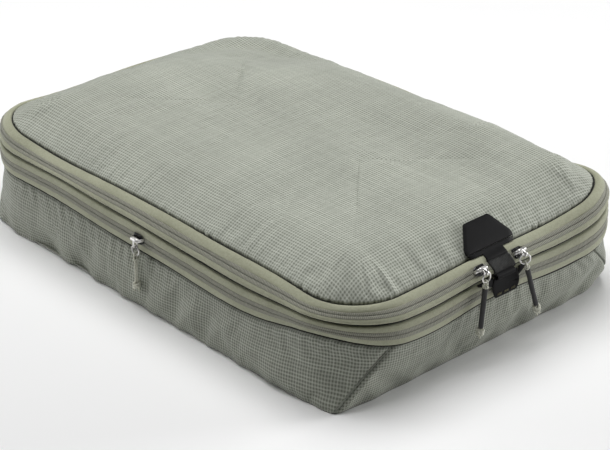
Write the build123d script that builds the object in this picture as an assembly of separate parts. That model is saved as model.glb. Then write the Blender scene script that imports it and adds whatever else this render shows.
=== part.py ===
from build123d import *
from math import cos, radians, sin, tan
import os

# Compression packing cube, lying on its base, in millimetres.
# Origin: centre of the base, on the surface the cube lies on. +Z up, +Y along the long side.
# The grab tabs and the two main zip pulls are on the -Y end, the compression pull on the -X side.

# ---- driving dimensions -------------------------------------------------------------------
WIDTH = 314.0            # outside width across X, at the zip bands
LENGTH = 460.0           # outside length along Y, at the zip bands
CORNER_RADIUS = 60.0     # plan radius of the zip bands
LEAST_RADIUS = 8.0       # plan radius left well inside the lid
FABRIC = 1.2             # thickness given to a layer of lined fabric
TAPE = 1.0               # thickness given to a zip tape
CLEARANCE = 0.15         # half the gap between two parts that separate

BASE_HALF_X = 155.0      # the base panel's outline, at the floor
BASE_HALF_Y = 211.0
BASE_RADIUS = 14.0
WALL_TOP = 51.7          # top edge of the side fabric
WALL_TOP_INSET = 2.6
DART_TOP = (110.0, 229.0)     # where each corner dart meets the lower zip band, first quadrant
DART_FOOT = (152.5, 207.0)    # where the dart meets the base
DART_HEADING = (0.55, 0.83)   # horizontal direction of the dart's cutting plane

# Band sections as (outset from the plan outline, height) along the outside of the tape.
COMPRESSION_LOWER = [(-1.8, 52.2), (-0.6, 55.0), (0.0, 59.0)]
COMPRESSION_UPPER = [(0.3, 65.0), (0.3, 69.0), (-0.3, 70.9), (-3.0, 71.4)]
MAIN_LOWER = [(-3.0, 72.6), (-0.4, 73.4), (0.2, 75.4), (-0.9, 77.5)]
MAIN_UPPER = [(-5.1, 81.8), (-8.6, 84.2), (-12.0, 85.3)]
LID_SECTION = [(-12.8, 85.3), (-18.0, 90.9), (-24.0, 96.5), (-31.0, 101.5),
               (-42.0, 104.5), (-70.0, 106.0), (-110.0, 106.5)]
COIL_PROUD = 0.5         # how far the closed coil stands out of the tape
COIL_DEPTH = 1.2         # and how far it reaches in
COIL_GAP = 0.45          # from the coil to each tape's edge

HINGE_HALF = 90.0        # half the length of the rear edge that has a fabric hinge and no coil

SLIDER_LENGTH = 11.0
SLIDER_WIDTH = 8.4
SLIDER_FOOT = 0.85       # height of the slider's plate over the tape
SLIDER_TOP = 2.05
BAR_HEIGHT = 4.9         # centre of the bridge's bar over the tape
BAR_RADIUS = 0.75
LINK_REACH = 4.6         # from the bar to the eye that holds the ring
EYE_RADIUS = 1.15
RING_RADIUS = 4.1
RING_WIRE = 0.5
CORD_RADIUS = 0.75
STRAND_OFFSET = 1.7      # half the gap between the two strands where they go round the ring
LINK_DIP = 20.0          # the main links' slope below level, in degrees

MAIN_SLIDER_X = {"left": -22.5, "right": 19.5}
MAIN_RING_YAW = {"left": 0.0, "right": -35.0}
MAIN_LEAN = {"left": -6.0, "right": 14.0}
COMPRESSION_SLIDER_Y = 9.0

TAB_BASE_HALF = 24.5     # grab tabs: half widths at the sewn edge, the widest line and the free end
TAB_WIDE_HALF = 25.5
TAB_END_HALF = 13.2
TAB_LENGTH = 26.5
TAB_THICKNESS = 1.2
TONGUE_HALF = 10.6
TONGUE_CENTRE = -0.5
TAB_STITCH_LINE = 3.2    # from a tab's sewn edge to the line it bends at
TAB_SETBACK = 11.9       # from the plan outline in to the upper tab's sewn edge
TAB_FOOT = 86.0          # height of that edge
FOLD_RADIUS = 2.6        # the black roll that carries the lower tab
FOLD_HOLLOW = 1.6
FOLD_HALF = 9.5
FOLD_PROUD = 2.6         # how far the roll's axis stands out of the plan outline
FOLD_HEIGHT = 71.6
LOWER_TAB_CENTRE = 2.0
LOWER_TAB_LENGTH = 18.4
SHOULDER_TOP = 71.0      # corners of the tab that lie flat behind the two pulls
SHOULDER_LOW = 66.0
SHOULDER_THICKNESS = 0.8
SHOULDERS = {"left": (-16.5, -26.0), "right": (17.5, 26.0)}
SLEEVE_TOP = -5.2        # ends of the sleeve, from the ring's lower wire
SLEEVE_BOTTOM = -38.0
SLEEVE_RADIUS = 2.35
MAIN_DROP = 41.0         # depth of the end knots' middles under the ring's lower wire
COMPRESSION_DROP = 27.0

parts = {}


# ---- helpers ------------------------------------------------------------------------------
def add(name, shape):
    """Keep a finished piece under its node name."""
    parts[name] = shape


def outline(half_x, half_y, radius, height):
    """Rounded rectangle at a height."""
    return Plane.XY.offset(height) * RectangleRounded(2 * half_x, 2 * half_y, radius)


def band_outline(outset, height):
    """The plan outline of the zip bands, moved outwards by outset."""
    radius = max(CORNER_RADIUS + outset, LEAST_RADIUS)
    return outline(WIDTH / 2 + outset, LENGTH / 2 + outset, radius, height)


def thicken(points, depth_in, depth_out=0.0):
    """Close a section line into a strip; the line runs upwards and its left side is outside."""
    outer, inner = [], []
    for i, (r, z) in enumerate(points):
        before = points[max(i - 1, 0)]
        after = points[min(i + 1, len(points) - 1)]
        along = Vector(after[0] - before[0], after[1] - before[1]).normalized()
        out = Vector(along.Y, -along.X)
        outer.append((r + out.X * depth_out, z + out.Y * depth_out))
        inner.append((r - out.X * depth_in, z - out.Y * depth_in))
    return outer + inner[::-1]


def ring(section):
    """Carry a closed (outset, height) section right round the plan outline."""
    hx, hy = WIDTH / 2, LENGTH / 2
    r = CORNER_RADIUS
    pieces = []
    for sign in (1, -1):
        side = Polygon(*[(sign * (hx + o), z) for o, z in section], align=None)
        pieces.append(extrude(Plane.XZ * side, amount=hy - r, both=True))
        end = Polygon(*[(sign * (hy + o), z) for o, z in section], align=None)
        pieces.append(extrude(Plane.YZ * end, amount=hx - r, both=True))
    quarter = Plane.XZ * Polygon(*[(r + o, z) for o, z in section], align=None)
    quarter = revolve(quarter, Axis.Z, 90)
    for i, (cx, cy) in enumerate([(1, 1), (-1, 1), (-1, -1), (1, -1)]):
        place = Pos(cx * (hx - r), cy * (hy - r), 0) * Rot(0, 0, 90 * i)
        pieces.append(place * quarter)
    whole = pieces[0]
    for piece in pieces[1:]:
        whole = whole + piece
    return whole


def coil_section(start, end, half):
    """One half of the closed coil between two tapes; half is 'lower' or 'upper'."""
    along = Vector(end[0] - start[0], end[1] - start[1])
    mid = ((start[0] + end[0]) / 2, (start[1] + end[1]) / 2)
    step = along.normalized() * CLEARANCE
    gap = along.normalized() * COIL_GAP
    if half == "lower":
        line = [(start[0] + gap.X, start[1] + gap.Y), (mid[0] - step.X, mid[1] - step.Y)]
    else:
        line = [(mid[0] + step.X, mid[1] + step.Y), (end[0] - gap.X, end[1] - gap.Y)]
    return thicken(line, COIL_DEPTH, COIL_PROUD)


def shell(outer_line, thickness):
    """Closed cap with this outer section, hollow below, as stacked ruled frustums."""
    outside = loft([band_outline(o, z) for o, z in outer_line], ruled=True)
    low_o, low_z = outer_line[0]
    inner_line = [(low_o - thickness, low_z - 0.01)]
    for o, z in outer_line[1:]:
        inner_line.append((o - thickness * 0.7, z - thickness))
    inside = loft([band_outline(o, z) for o, z in inner_line], ruled=True)
    return outside - inside


# ---- side fabric and base -----------------------------------------------------------------
def wall_shell():
    def hull(shrink, low, high):
        foot = outline(BASE_HALF_X - shrink, BASE_HALF_Y - shrink, BASE_RADIUS - shrink, low)
        head = band_outline(-WALL_TOP_INSET - shrink, high)
        return loft([foot, head], ruled=True)
    return hull(0, 0, WALL_TOP) - hull(FABRIC, 0, WALL_TOP)


def end_wedge(sign):
    """The part of space between the two darts of one end; sign is -1 for the front."""
    faces = []
    reach = 120.0
    drop = (DART_TOP[0] - DART_FOOT[0]) / WALL_TOP
    turn = (DART_TOP[1] - DART_FOOT[1]) / WALL_TOP
    for z in (-1.0, WALL_TOP + 1.0):
        px, py = DART_FOOT[0] + drop * z, DART_FOOT[1] + turn * z
        slope = DART_HEADING[1] / DART_HEADING[0]
        apex = (0.0, sign * (py - px * slope))
        far_x, far_y = px + reach * DART_HEADING[0], py + reach * DART_HEADING[1]
        corners = [apex, (far_x, sign * far_y), (-far_x, sign * far_y)]
        faces.append(Plane.XY.offset(z) * Polygon(*corners, align=None))
    return loft(faces, ruled=True)


def build_lower_shell():
    walls = wall_shell()
    front, rear = end_wedge(-1), end_wedge(1)
    add("front_wall", walls & front)
    add("rear_wall", walls & rear)
    sides = walls - front - rear
    half = Box(WIDTH, LENGTH * 2, 200.0, align=(Align.MIN, Align.CENTER, Align.CENTER))
    add("right_wall", sides & half)
    add("left_wall", sides - half)
    inset = FABRIC + 0.3
    base = outline(BASE_HALF_X - inset, BASE_HALF_Y - inset, BASE_RADIUS - inset, 0)
    add("base_panel", extrude(base, amount=FABRIC))
    high = outline(BASE_HALF_X - 2.5, BASE_HALF_Y - 2.5, BASE_RADIUS - 2.5, 1.4)
    low = outline(BASE_HALF_X - 3.3, BASE_HALF_Y - 3.3, BASE_RADIUS - 3.3, 1.4)
    add("base_seam_binding", extrude(high - low, amount=4.2))
    add("wall_seam_binding", ring([(-5.6, 50.0), (-4.8, 50.0), (-4.8, 53.4), (-5.6, 53.4)]))


# ---- zip bands ----------------------------------------------------------------------------
def rear_gap():
    """The stretch of the rear edge where fabric takes the place of the main coil."""
    return Pos(0, LENGTH / 2, 80.0) * Box(2 * HINGE_HALF, 40.0, 20.0)


def build_bands():
    add("compression_lower_tape", ring(thicken(COMPRESSION_LOWER, TAPE)))
    add("compression_upper_tape", ring(thicken(COMPRESSION_UPPER, TAPE)))
    add("main_lower_tape", ring(thicken(MAIN_LOWER, TAPE)))
    add("main_upper_tape", ring(thicken(MAIN_UPPER, TAPE)))
    low, high = COMPRESSION_LOWER[-1], COMPRESSION_UPPER[0]
    add("compression_lower_coil", ring(coil_section(low, high, "lower")))
    add("compression_upper_coil", ring(coil_section(low, high, "upper")))
    low, high = MAIN_LOWER[-1], MAIN_UPPER[0]
    gap = rear_gap()
    for half in ("lower", "upper"):
        chain = ring(coil_section(low, high, half))
        add("main_" + half + "_coil", chain - gap)
        add("rear_hinge_" + half + "_strip", chain & gap)
    add("fold_binding", ring([(-4.9, 71.2), (-3.1, 71.2), (-3.1, 72.8), (-4.9, 72.8)]))
    add("lid_seam_binding", ring([(-14.4, 79.5), (-13.6, 79.5), (-13.6, 83.6), (-14.4, 83.6)]))
    # Folded wall of fabric behind the compression zip; it opens out as the cube grows taller.
    add("expansion_gusset", ring([(-4.2, 54.0), (-3.4, 54.0), (-3.4, 70.5), (-4.2, 70.5)]))


def build_lid():
    add("lid_panel", shell(LID_SECTION, FABRIC))


# ---- grab tabs ----------------------------------------------------------------------------
def tab_face(base_half, wide_half, end_half, base_y, wide_y, end_y):
    """Six-sided tab outline with softened corners, drawn from its sewn edge at base_y."""
    corners = [(-base_half, base_y), (base_half, base_y), (wide_half, wide_y),
               (end_half, end_y), (-end_half, end_y), (-wide_half, wide_y)]
    face = Polygon(*corners, align=None)
    return fillet(face.vertices(), 1.5)


def build_tabs():
    # The upper tab lies on the lid's slope, above the front seam.
    slope = Plane(origin=(0, -LENGTH / 2 + TAB_SETBACK, TAB_FOOT), x_dir=(1, 0, 0), z_dir=(0, -1, 1))
    band = slope * Rectangle(2 * TAB_BASE_HALF, TAB_STITCH_LINE - CLEARANCE * 2, align=(Align.CENTER, Align.MIN))
    base_strip = extrude(band, amount=TAB_THICKNESS)
    tongue_line = [(-4.9, 82.0), (-8.6, 84.5), (-11.6, 85.6)]
    tongue_section = thicken(tongue_line, -0.3, TAB_THICKNESS)
    front = [(-(LENGTH / 2 + o), z) for o, z in tongue_section]
    tongue = extrude(Plane.YZ * Polygon(*front, align=None), amount=TONGUE_HALF, both=True)
    add("upper_tab_tongue", Pos(TONGUE_CENTRE, 0, 0) * tongue)
    add("upper_tab_base", base_strip)
    flap = tab_face(TAB_BASE_HALF, TAB_WIDE_HALF, TAB_END_HALF, TAB_STITCH_LINE, 6.5, TAB_LENGTH)
    add("upper_tab", extrude(slope * flap, amount=TAB_THICKNESS))

    # The lower tab hangs from a roll that is sewn into the fold between the two bands.
    fold_y = -LENGTH / 2 - FOLD_PROUD
    tube = Pos(fold_y, FOLD_HEIGHT) * (Circle(FOLD_RADIUS) - Circle(FOLD_HOLLOW))
    roll = extrude(Plane.YZ * tube, amount=FOLD_HALF, both=True)
    # web that reaches into the fold between the bands
    web = Pos(0, fold_y + FOLD_RADIUS - 0.2, 72.0) * Box(
        2 * FOLD_HALF, 3.0, 0.8, align=(Align.CENTER, Align.MIN, Align.CENTER))
    add("lower_tab_fold", roll + web)
    for side, (near, far) in SHOULDERS.items():
        corners = [(near, SHOULDER_LOW), (near, SHOULDER_TOP), (far, SHOULDER_TOP)]
        plate = extrude(Plane.XZ * Polygon(*corners, align=None), amount=-SHOULDER_THICKNESS)
        add("lower_tab_shoulder_" + side, Pos(0, -LENGTH / 2 - 1.5, 0) * plate)
    drop = Plane(origin=(LOWER_TAB_CENTRE, fold_y - 0.2, FOLD_HEIGHT), x_dir=(-1, 0, 0), z_dir=(0, -1, 0))
    flap = tab_face(13.5, 14.5, 12.6, TAB_STITCH_LINE, 6.0, LOWER_TAB_LENGTH)
    add("lower_tab", extrude(drop * flap, amount=TAB_THICKNESS / 2, both=True))


# ---- sliders and pulls --------------------------------------------------------------------
def slider_body():
    """Top plate of a slider with its narrow nose, in its own plane: x along the zip, z out."""
    half_l, half_w = SLIDER_LENGTH / 2, SLIDER_WIDTH / 2
    nose = half_w * 0.62
    plan = Polygon((-half_l, -half_w), (half_l * 0.45, -half_w), (half_l, -nose),
                   (half_l, nose), (half_l * 0.45, half_w), (-half_l, half_w), align=None)
    plan = fillet(plan.vertices(), 1.0)
    plate = Pos(0, 0, SLIDER_FOOT) * extrude(plan, amount=SLIDER_TOP - SLIDER_FOOT)
    rim = plate.edges().group_by(Axis.Z)[-1]
    plate = chamfer(rim, 0.4)
    spine = Pos(0, 0, SLIDER_TOP) * extrude(RectangleRounded(5.6, 2.6, 0.8), amount=0.6)
    return plate + spine


def slider_bridge():
    """Bent-wire bridge over the plate, that holds the link."""
    foot = 4.2
    path = FilletPolyline((-foot, 0, SLIDER_TOP), (-foot, 0, BAR_HEIGHT),
                          (foot, 0, BAR_HEIGHT), (foot, 0, SLIDER_TOP), radius=1.5)
    section = Plane(origin=(-foot, 0, SLIDER_TOP), z_dir=(0, 0, 1)) * Circle(BAR_RADIUS)
    return sweep(section, path=path)


def link():
    """Folded link: a barrel round the bar at the origin, and a lug with the ring's eye along -Y."""
    barrel_r, lug_half, barrel_half = 1.65, 0.6, 2.1
    barrel = extrude(Plane.YZ * Circle(barrel_r), amount=barrel_half, both=True)
    lug = Plane.YZ * (Pos(-LINK_REACH, 0) * Circle(EYE_RADIUS + 0.75))
    lug = extrude(lug, amount=lug_half, both=True)
    cheek = extrude(Plane.YZ * (Pos(-LINK_REACH / 2, 0) * Rectangle(LINK_REACH, 2.2)),
                    amount=lug_half, both=True)
    bore = extrude(Plane.YZ * Circle(BAR_RADIUS + 0.3), amount=5, both=True)
    eye = extrude(Plane.YZ * (Pos(-LINK_REACH, 0) * Circle(EYE_RADIUS)), amount=5, both=True)
    return barrel + lug + cheek - bore - eye


def wire_ring():
    """Round wire ring hanging from the origin, in the XZ plane."""
    return Pos(0, 0, -RING_RADIUS) * Rot(90, 0, 0) * Torus(RING_RADIUS, RING_WIRE)


def doubled_cord(name, drop, bow):
    """Cord that goes up through its end knot, round the ring's wire and down again.

    The ring's wire is at the origin, along X. drop is the depth of the end knot's middle.
    bow moves the middle of both strands sideways. Ends hang below the knot as two short tails.
    """
    s, near = STRAND_OFFSET, 0.92
    tail = drop + 6.2
    first = [(1.5, near + 0.7, -tail), (0.35, near, -drop),
             (bow * 0.4, near - 0.04, -drop + 6.2), (bow, near + 0.04, -drop * 0.54),
             (bow * 0.6, near, -drop * 0.3), (0.12, near + 0.1, -5.4), (0.0, s + 0.05, -2.0), (0.0, s, s)]
    second = [(0.0, -s, s), (0.0, -s - 0.05, -2.0), (0.12, -near - 0.1, -5.4),
              (bow * 0.6, -near, -drop * 0.3), (bow, -near - 0.04, -drop * 0.54),
              (bow * 0.4, -near + 0.04, -drop + 6.2), (-0.35, -near, -drop),
              (-1.4, -near - 0.5, -tail + 1.0)]
    route = [Vector(*p) for p in first + second]
    radii = []
    for a, b, c in zip(route, route[1:], route[2:]):
        turn = (b - a).get_angle(c - b)
        shorter = min((b - a).length, (c - b).length)
        radii.append(0.45 * shorter / tan(radians(turn) / 2))
    path = FilletPolyline(*route, radius=radii)
    heading = route[1] - route[0]
    tube = sweep(Plane(origin=route[0], z_dir=heading) * Circle(CORD_RADIUS), path=path)
    section = Circle(CORD_RADIUS).area
    print(name, "cord length", round(path.length, 1), "radii", [round(r, 1) for r in radii],
          "volume", round(tube.volume, 1), "section x length", round(section * path.length, 1))
    return tube


def sleeve(top, bottom):
    """Plastic tube over both strands."""
    length = top - bottom
    tube = extrude(Circle(SLEEVE_RADIUS), amount=length) - extrude(SlotOverall(3.9, 2.2, rotation=90), amount=length)
    return Pos(0, 0, bottom) * tube


def barrel_knot(radius, height, middle):
    """Plain rounded barrel in the place of a knot."""
    body = Cylinder(radius, height)
    body = fillet(body.edges().filter_by(GeomType.CIRCLE), min(radius, height / 2) * 0.6)
    return Pos(0, 0, middle) * body


def build_pull(name, slider_at, link_turn, yaw, lean, drop, sleeve_bottom, bow):
    """One slider with its link, ring and cord. slider_at is the plane of the tape under it."""
    add(name + "_slider_body", slider_at * slider_body())
    add(name + "_slider_bridge", slider_at * slider_bridge())
    bar = slider_at.origin + slider_at.z_dir * BAR_HEIGHT
    # heading turns the pull so that its -Y is the way out of the bag
    heading = 0 if abs(slider_at.z_dir.Y) > 0.1 else -90
    out = Rot(0, 0, heading)
    add(name + "_link", Pos(*bar) * out * Rot(link_turn, 0, 0) * link())
    reach = Vector(0, -LINK_REACH * cos(radians(link_turn)), -LINK_REACH * sin(radians(link_turn)))
    eye = bar + reach.rotate(Axis.Z, heading)
    hang = Pos(*eye) * out * Rot(0, 0, yaw)
    add(name + "_ring", hang * wire_ring())
    cord_at = hang * Pos(0, 0, -RING_RADIUS) * Rot(0, -lean, 0) * Pos(0, 0, -RING_RADIUS)
    add(name + "_cord", cord_at * doubled_cord(name, drop, bow))
    add(name + "_hitch", cord_at * barrel_knot(2.3, 2.6, -3.4))
    if sleeve_bottom:
        add(name + "_sleeve", cord_at * sleeve(SLEEVE_TOP, sleeve_bottom))
    add(name + "_knot", cord_at * barrel_knot(2.9, 5.0, -drop))
    turn_axis = Vector(-1, 0, 0).rotate(Axis.Z, heading + yaw)
    print(name, "bar", bar, "eye", eye, "hitch", cord_at.position, "cord axis", turn_axis)


def build_pulls():
    slope = Vector(MAIN_UPPER[0][0] - MAIN_LOWER[-1][0], MAIN_UPPER[0][1] - MAIN_LOWER[-1][1])
    slope = slope.normalized()
    middle = ((MAIN_UPPER[0][0] + MAIN_LOWER[-1][0]) / 2, (MAIN_UPPER[0][1] + MAIN_LOWER[-1][1]) / 2)
    for side, x in MAIN_SLIDER_X.items():
        facing = -1 if side == "left" else 1
        at = Plane(origin=(x, -(LENGTH / 2 + middle[0]), middle[1]), x_dir=(facing, 0, 0),
                   z_dir=(0, -slope.Y, -slope.X))
        build_pull("main_" + side, at, LINK_DIP, MAIN_RING_YAW[side], MAIN_LEAN[side],
                   MAIN_DROP, SLEEVE_BOTTOM, 0.0 if side == "right" else 0.15)
    band_x = WIDTH / 2 + (COMPRESSION_LOWER[-1][0] + COMPRESSION_UPPER[0][0]) / 2
    band_z = (COMPRESSION_LOWER[-1][1] + COMPRESSION_UPPER[0][1]) / 2
    at = Plane(origin=(-band_x, COMPRESSION_SLIDER_Y, band_z), x_dir=(0, -1, 0), z_dir=(-1, 0, 0))
    build_pull("compression", at, 90.0, 0.0, 0.0, COMPRESSION_DROP, None, 0.15)


build_lower_shell()
build_bands()
build_lid()
build_tabs()
build_pulls()

os.makedirs("parts", exist_ok=True)
for node, shape in parts.items():
    export_step(shape, os.path.join("parts", node + ".step"))
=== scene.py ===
from math import cos, pi, radians, sin

import bmesh
import bpy
import numpy as np
from mathutils import Matrix, Vector


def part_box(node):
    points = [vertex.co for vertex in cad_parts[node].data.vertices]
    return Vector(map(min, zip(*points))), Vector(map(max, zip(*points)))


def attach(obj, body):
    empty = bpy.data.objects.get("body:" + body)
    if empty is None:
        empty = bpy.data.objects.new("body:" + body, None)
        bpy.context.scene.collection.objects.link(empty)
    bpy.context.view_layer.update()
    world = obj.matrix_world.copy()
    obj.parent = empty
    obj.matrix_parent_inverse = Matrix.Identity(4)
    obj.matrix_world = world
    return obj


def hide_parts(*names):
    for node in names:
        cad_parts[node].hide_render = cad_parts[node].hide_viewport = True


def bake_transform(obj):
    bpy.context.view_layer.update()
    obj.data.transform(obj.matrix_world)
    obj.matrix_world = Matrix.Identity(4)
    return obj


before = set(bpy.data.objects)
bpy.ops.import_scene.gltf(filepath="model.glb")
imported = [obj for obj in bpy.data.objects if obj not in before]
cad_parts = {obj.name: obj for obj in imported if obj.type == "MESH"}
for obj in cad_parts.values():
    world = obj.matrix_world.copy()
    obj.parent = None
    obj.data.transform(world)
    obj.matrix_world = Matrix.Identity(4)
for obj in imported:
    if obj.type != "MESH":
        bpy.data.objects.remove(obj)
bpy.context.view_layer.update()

# Looks of a compression packing cube. Geometry is worked out in millimetres, in the row frame:
# origin at the middle of the base, +Z up, +Y along the long side towards the lid's hinge.
# new_piece() is the one place that turns millimetres into metres.
MM = 0.001

# ---- driving dimensions -------------------------------------------------------------------
band_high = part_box("compression_lower_tape")[1]
HALF_X = band_high.x / MM          # plan outline of the zip bands
HALF_Y = band_high.y / MM
CORNER_RADIUS = 60.0
LEAST_RADIUS = 8.0
BASE_HALF_X, BASE_HALF_Y = 158.0, 213.6        # foot of the side fabric
BASE_RADIUS = 7.0
WALL_TOP = 51.7
DART_TOP_X = 110.0                 # where each corner dart meets the lower band
DART_FOOT = (156.5, 211.6)         # and where it meets the base
RIPSTOP_PITCH = 2.45               # side of one ripstop square
FABRIC = 0.6
TAPE = 0.8
LID_PRESSURE, WALL_PRESSURE = 0.9, 0.4
WALL_ROWS = 30
WALL_INSET = 3.0                   # the side fabric's top edge, in from the plan outline
FOOT_ROLL = 7.5                    # radius that the fabric turns under with at the foot
BASE_INSIDE = (156.4, 212.0)       # half sizes of the base sheet

# Strips of the zip bands as (outset from the plan outline, height), outside of the cloth.
COMPRESSION_LOWER = [(-4.3, 52.3), (-2.4, 52.2), (-1.2, 53.0), (-0.5, 55.0), (-0.1, 57.2), (0.0, 58.8)]
COMPRESSION_UPPER = [(0.3, 65.2), (0.5, 67.0), (0.4, 69.0), (-0.3, 70.4), (-1.8, 71.0), (-4.0, 71.2)]
MAIN_LOWER = [(-4.0, 72.7), (-1.7, 72.9), (-0.3, 73.7), (0.2, 75.2), (-0.3, 76.8), (-1.4, 78.1)]
MAIN_UPPER = [(-5.0, 81.8), (-6.4, 83.4), (-8.5, 84.9), (-10.6, 85.7), (-12.0, 85.5), (-12.9, 84.3)]
COIL_SWELL = 0.3                   # how far a coil's rounded back stands out of the tape

# Lid height against distance in from the outline: by the tab, along the sides, and at the hinge.
LID_FRONT = [(14.3, 85.4), (14.5, 87.0), (18.0, 91.3), (24.0, 97.2), (30.0, 101.9), (36.0, 104.8),
             (44.0, 106.6), (56.0, 107.4), (75.0, 107.6), (110.0, 107.6), (230.0, 107.6)]
LID_SIDE = [(14.3, 85.4), (14.5, 86.7), (18.0, 90.3), (24.0, 94.8), (31.0, 98.6), (40.0, 101.8),
            (52.0, 104.2), (70.0, 105.8), (100.0, 106.8), (157.0, 107.0), (230.0, 107.0)]
LID_REAR = [(14.3, 85.4), (14.5, 86.5), (18.0, 89.4), (24.0, 93.0), (31.0, 96.2), (42.0, 99.8),
            (56.0, 102.2), (75.0, 104.0), (110.0, 105.8), (140.0, 106.2), (230.0, 106.2)]
# How far the crown stands above or below those profiles, along the right edge and the rear edge.
RIGHT_CROWN = [(-230, 10.0), (-195, 9.5), (-173, 9.0), (-150, 9.0), (-105, 10.0), (-82, 8.0), (-37, 4.0),
               (8, 0.6), (53, -2.2), (98, -6.0), (143, -10.5), (205, -12.5), (230, -12.5)]
REAR_CROWN = [(-157, 6.0), (-110, 5.5), (-45, 4.8), (-21, 2.6), (2, -0.2), (25, -2.8), (49, -5.2),
              (72, -7.5), (96, -10.0), (119, -12.0), (157, -12.5)]
# Where packed clothes push the bands off level: middle x, y, reach, and the rise at three heights.
SAG_HEIGHTS = (0.0, 52.0, 72.0, 85.0, 104.0)
SAG_SPOTS = [(-151, -190, 34, 9.5, 2.0, -1.6), (-154, -95, 48, -6.0, -3.4, 0.4),
             (-154, 31, 45, -2.5, 0.2, 1.6), (-154, 112, 40, 1.5, 2.0, -1.6),
             (-78, -228, 38, -5.5, -4.0, -1.6), (74, -228, 40, -5.0, -2.4, -0.6),
             (142, -214, 34, 0.5, 6.5, 9.0), (-138, 212, 32, 0.0, 1.0, 5.0),
             (140, 208, 62, -1.0, -5.0, -8.5), (152, 120, 42, -0.5, -2.0, -3.5)]
# Corners where the lid's seam is drawn outwards: middle x, y, and how far.
SEAM_PULLS = [(142, -214, 1.2), (-142, 214, 3.0), (-142, -214, 2.5), (142, 214, 3.0)]

LONG_COLUMNS, SHORT_COLUMNS, ARC_COLUMNS = 204, 116, 60

# ---- camera -------------------------------------------------------------------------------
CAMERA_PLACE = (-1.26286, -1.38375, 1.04251)
CAMERA_AZIMUTH, CAMERA_ELEVATION = -42.593, 28.64
FOCAL_LENGTH, SENSOR_WIDTH = 153.44, 36.0


def make_camera():
    turn, lift = radians(CAMERA_AZIMUTH), radians(CAMERA_ELEVATION)
    back = Vector((sin(turn) * cos(lift), -cos(turn) * cos(lift), sin(lift)))
    data = bpy.data.cameras.new("camera")
    data.lens, data.sensor_width = FOCAL_LENGTH, SENSOR_WIDTH
    data.clip_start, data.clip_end = 0.05, 20.0
    camera = in_scene("camera", data)
    camera.location = CAMERA_PLACE
    camera.rotation_mode = "QUATERNION"
    camera.rotation_quaternion = (-back).to_track_quat("-Z", "Y")
    bpy.context.scene.camera = camera


# ---- shader helpers -----------------------------------------------------------------------
class Nodes:
    """Short names for building one material's node tree."""

    def __init__(self, name):
        self.material = bpy.data.materials.new(name)
        self.material.use_nodes = True
        self.tree = self.material.node_tree
        self.shader = self.tree.nodes["Principled BSDF"]

    def set(self, target, value):
        """Links an output to a socket, or gives it a constant; a colour may leave out its alpha."""
        if hasattr(value, "is_output"):
            self.tree.links.new(value, target)
        elif isinstance(value, tuple) and len(value) < len(target.default_value):
            target.default_value = (*value, 1.0)
        else:
            target.default_value = value

    def new(self, kind, inputs=None, **settings):
        """New node, with values or links for its inputs, which go by name or number."""
        node = self.tree.nodes.new(kind)
        for key, value in settings.items():
            setattr(node, key, value)
        for key, value in (inputs or {}).items():
            self.set(node.inputs[key], value)
        return node

    def math(self, operation, a, b=0.0):
        return self.new("ShaderNodeMath", {0: a, 1: b}, operation=operation).outputs[0]

    def ramp(self, value, low, high, out_low=0.0, out_high=1.0):
        inputs = {"Value": value, "From Min": low, "From Max": high, "To Min": out_low, "To Max": out_high}
        return self.new("ShaderNodeMapRange", inputs, interpolation_type="SMOOTHSTEP").outputs[0]

    def mix(self, factor, a, b, blend="MIX"):
        inputs = {0: factor, 6: a, 7: b}
        return self.new("ShaderNodeMix", inputs, data_type="RGBA", blend_type=blend).outputs[2]

    def noise(self, vector, scale, detail=2.0, roughness=0.5):
        inputs = {"Vector": vector, "Scale": scale, "Detail": detail, "Roughness": roughness}
        return self.new("ShaderNodeTexNoise", inputs).outputs["Fac"]

    def place(self):
        return self.new("ShaderNodeTexCoord").outputs["Object"]

    def uv(self, scale):
        """The piece's cloth coordinates, which are in metres, times a scale; returns u, v, vector."""
        source = self.new("ShaderNodeTexCoord").outputs["UV"]
        scaled = self.new("ShaderNodeVectorMath", {0: source, 1: (scale, scale, 1.0)}, operation="MULTIPLY")
        parts = self.new("ShaderNodeSeparateXYZ", {0: scaled.outputs[0]})
        return parts.outputs[0], parts.outputs[1], scaled.outputs[0]

    def bump(self, height, distance, strength=1.0, under=None):
        inputs = {"Height": height, "Distance": distance, "Strength": strength}
        if under is not None:
            inputs["Normal"] = under
        return self.new("ShaderNodeBump", inputs).outputs["Normal"]

    def finish(self, colour, roughness, normal=None, metallic=0.0, sheen=0.0, specular=0.5):
        inputs = {"Base Color": colour, "Roughness": roughness, "Metallic": metallic, "Sheen Weight": sheen,
                  "Specular IOR Level": specular}
        if normal is not None:
            inputs["Normal"] = normal
        for key, value in inputs.items():
            self.set(self.shader.inputs[key], value)
        return self.material


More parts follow.
